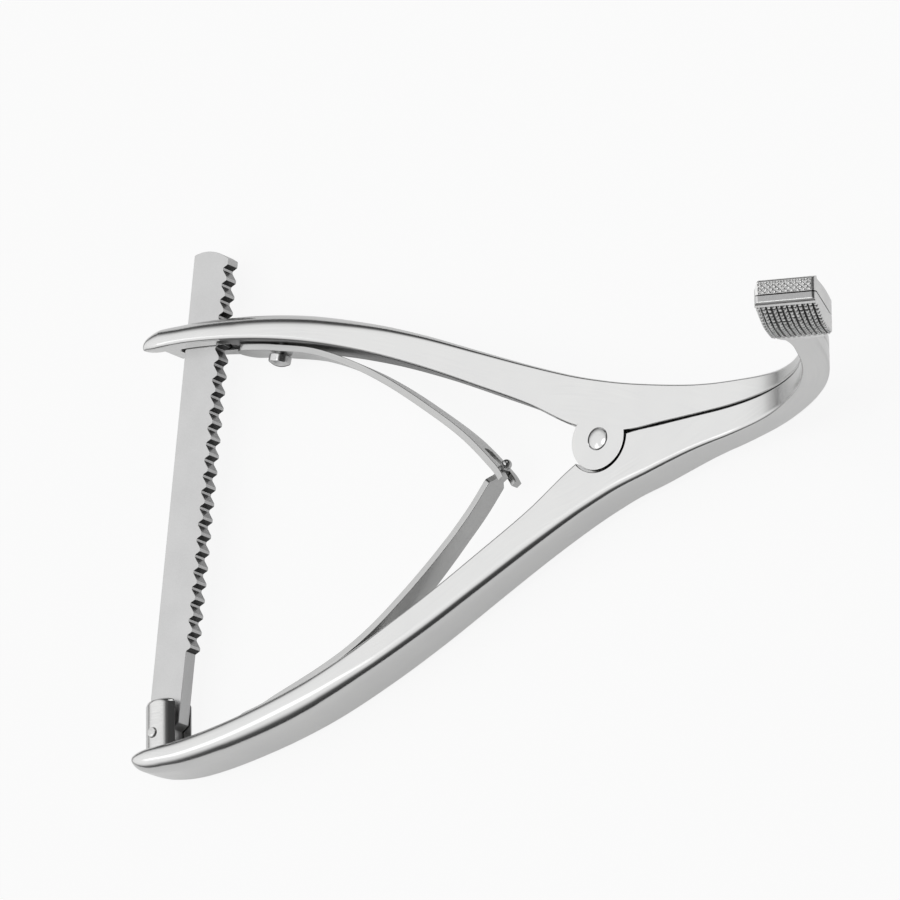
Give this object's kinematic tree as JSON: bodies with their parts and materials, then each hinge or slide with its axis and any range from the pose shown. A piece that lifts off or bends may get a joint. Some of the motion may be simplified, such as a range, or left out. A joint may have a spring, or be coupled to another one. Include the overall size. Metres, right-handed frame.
{
  "type": "knee joint spreader",
  "caption": "Hand-squeezed bone spreader: two arms on one pivot, upturned serrated jaws, paired leaf springs and a toothed ratchet bar.",
  "frame": {"origin": "centre of the pivot rivet's flat back head, in the plane on which the part lies", "axes": "+Z along the pivot axis away from the table, +X from the pivot toward the jaws in the middle plane between the closed jaws, +Y toward the upper handle"},
  "size_m": [0.2345, 0.1285, 0.0709],
  "materials": {
    "satin_forged_steel": "satin brushed stainless steel",
    "satin_forged_steel_upper": "satin brushed stainless steel",
    "polished_pin_steel": "polished stainless steel",
    "matt_bar_steel": "matt stainless steel",
    "polished_post_steel": "polished stainless steel",
    "cross_pin_steel": "ground stainless steel",
    "spring_steel": "brushed stainless spring steel",
    "spring_steel_lower": "brushed stainless spring steel",
    "screw_steel": "turned and polished stainless steel",
    "screw_steel_lower": "turned and polished stainless steel"
  },
  "bodies": {
    "lower_body": {"lower_arm": "satin_forged_steel", "pivot_pin": "polished_pin_steel", "bar_post": "polished_post_steel", "bar_hinge_pin": "cross_pin_steel", "lower_leaf_screw": "screw_steel_lower"},
    "upper_body": {"upper_arm": "satin_forged_steel_upper", "upper_leaf_screw": "screw_steel"},
    "bar": {"ratchet_bar": "matt_bar_steel"},
    "upper_leaf": {"upper_leaf_spring": "spring_steel"},
    "lower_leaf": {"lower_leaf_spring": "spring_steel_lower"}
  },
  "joints": [
    {"name": "squeeze", "type": "hinge", "parent": "lower_body", "child": "upper_body", "pos_m": [0, 0, 0.007], "axis": [0, 0, 1], "range_deg": [0, 24]},
    {"name": "bar_swing", "type": "hinge", "parent": "lower_body", "child": "bar", "pos_m": [-0.1307, -0.046, 0.007], "axis": [0, 0, 1], "range_deg": [0, 5]},
    {"name": "upper_leaf_flex", "type": "hinge", "parent": "upper_body", "child": "upper_leaf", "pos_m": [-0.076, 0.0373, 0.0068], "axis": [0, 0, 1], "range_deg": [0, 7.2], "deforming": ["upper_leaf_spring"]},
    {"name": "lower_leaf_flex", "type": "hinge", "parent": "lower_body", "child": "lower_leaf", "pos_m": [-0.076, -0.0373, 0.0068], "axis": [0, 0, 1], "range_deg": [-7.2, 0], "deforming": ["lower_leaf_spring"]}
  ],
  "couplings": [
    {"joint": "bar_swing", "follows": "squeeze", "ratio": 0.2},
    {"joint": "upper_leaf_flex", "follows": "squeeze", "ratio": 0.295},
    {"joint": "lower_leaf_flex", "follows": "squeeze", "ratio": -0.295}
  ]
}
